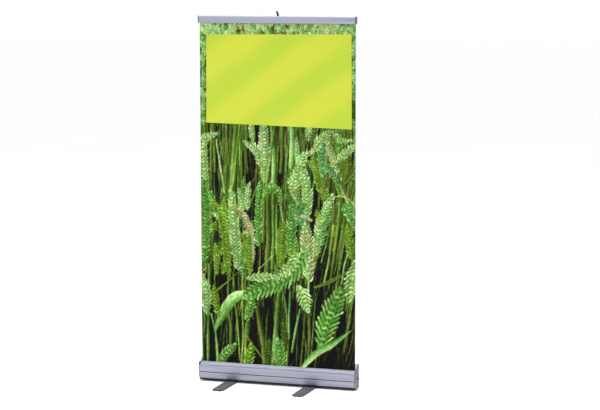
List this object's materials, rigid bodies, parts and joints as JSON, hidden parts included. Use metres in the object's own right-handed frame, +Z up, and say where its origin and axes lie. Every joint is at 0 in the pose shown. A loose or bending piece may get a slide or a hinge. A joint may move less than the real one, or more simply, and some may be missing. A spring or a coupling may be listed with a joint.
{
  "type": "roll-up banner stand",
  "caption": "Free-standing banner: a film pulled up from a sprung cassette and held by a top rail on a telescopic pole, on two swing-out feet.",
  "frame": {"origin": "on the floor, under the middle of the footprint of the object with its feet out", "axes": "+X along the cassette to the right seen from the front, -Y to the front, +Z up"},
  "size_m": [0.89, 0.408, 1.962],
  "materials": {
    "anodised_aluminium": "satin silver anodised extrusion",
    "black_steel": "black powder coat",
    "cap_plastic": "fine spark-eroded texture, mid grey",
    "black_plastic": "moulded black",
    "rubber": "matt black",
    "felt": "dark grey felt",
    "printed_film": "printed polyester film, matt",
    "plain_film": "plain white polyester film",
    "bright_steel": "zinc plated",
    "spring_steel": "oiled spring wire",
    "foot_aluminium": "ribbed, satin anodised"
  },
  "bodies": {
    "base": {"cassette_housing": "anodised_aluminium", "base_tray": "black_steel", "end_cap_left": "cap_plastic", "end_cap_right": "cap_plastic", "end_cap_screws": "bright_steel", "slot_felt_front": "felt", "slot_felt_rear": "felt", "leader_strip": "plain_film", "banner_film": "printed_film", "spring_spindle": "bright_steel", "spindle_nut": "bright_steel", "torsion_spring": "spring_steel", "idler_pin": "bright_steel", "foot_pivot_washers": "black_plastic", "foot_pivot_spacers": "bright_steel", "foot_pivot_bolts": "bright_steel", "foot_pivot_nuts": "bright_steel", "pole_socket": "black_plastic", "pole_socket_screws": "bright_steel", "pole_tube_lower": "anodised_aluminium"},
    "roller": {"roller_tube": "anodised_aluminium", "roller_hub_left": "black_plastic", "roller_hub_right": "black_plastic", "spring_anchor": "black_plastic", "film_roll": "plain_film"},
    "lock_pin": {"tension_lock_pin": "bright_steel"},
    "foot_left": {"foot_bar_left": "foot_aluminium", "foot_pads_left": "rubber"},
    "foot_right": {"foot_bar_right": "foot_aluminium", "foot_pads_right": "rubber"},
    "lower_collar": {"twist_collar_lower": "black_plastic"},
    "pole_middle": {"pole_tube_middle": "anodised_aluminium", "middle_tube_bush": "black_plastic"},
    "upper_collar": {"twist_collar_middle": "black_plastic"},
    "pole_top": {"pole_tube_top": "anodised_aluminium", "top_tube_bush": "black_plastic", "pole_head": "black_plastic", "rail_rear_profile": "anodised_aluminium", "rail_hinge_rod": "bright_steel", "rail_end_cap_left": "cap_plastic", "rail_end_cap_right": "cap_plastic"},
    "rail_jaw": {"rail_front_jaw": "anodised_aluminium"}
  },
  "joints": [
    {"name": "pole_lower_slide", "type": "slide", "parent": "base", "child": "pole_middle", "axis": [0, 0, -1], "range_m": [0, 0.54], "deforming": ["banner_film"]},
    {"name": "pole_upper_slide", "type": "slide", "parent": "pole_middle", "child": "pole_top", "axis": [0, 0, -1], "range_m": [0, 0.54]},
    {"name": "roller_spin", "type": "hinge", "parent": "base", "child": "roller", "pos_m": [0, 0.03, 0.064], "axis": [1, 0, 0], "range_deg": [-3420.01, 0]},
    {"name": "lower_collar_twist", "type": "hinge", "parent": "base", "child": "lower_collar", "pos_m": [0, 0.066, 0.69], "axis": [0, 0, 1], "range_deg": [0, 90]},
    {"name": "upper_collar_twist", "type": "hinge", "parent": "pole_middle", "child": "upper_collar", "pos_m": [0, 0.066, 1.29], "axis": [0, 0, 1], "range_deg": [0, 90]},
    {"name": "rail_jaw_hinge", "type": "hinge", "parent": "pole_top", "child": "rail_jaw", "pos_m": [0, 0.0343, 1.9324], "axis": [-1, 0, 0], "range_deg": [0, 40]},
    {"name": "foot_left_swing", "type": "hinge", "parent": "base", "child": "foot_left", "pos_m": [-0.254, 0.046, 0.004], "axis": [0, 0, 1], "range_deg": [0, 90]},
    {"name": "foot_right_swing", "type": "hinge", "parent": "base", "child": "foot_right", "pos_m": [0.184, 0.046, 0.004], "axis": [0, 0, 1], "range_deg": [0, 90]},
    {"name": "lock_pin_slide", "type": "slide", "parent": "base", "child": "lock_pin", "axis": [-1, 0, 0], "range_m": [0, 0.0075]}
  ],
  "couplings": [
    {"joint": "pole_upper_slide", "follows": "pole_lower_slide", "ratio": 1},
    {"joint": "roller_spin", "follows": "pole_lower_slide", "rad_per_m": -110.54}
  ]
}
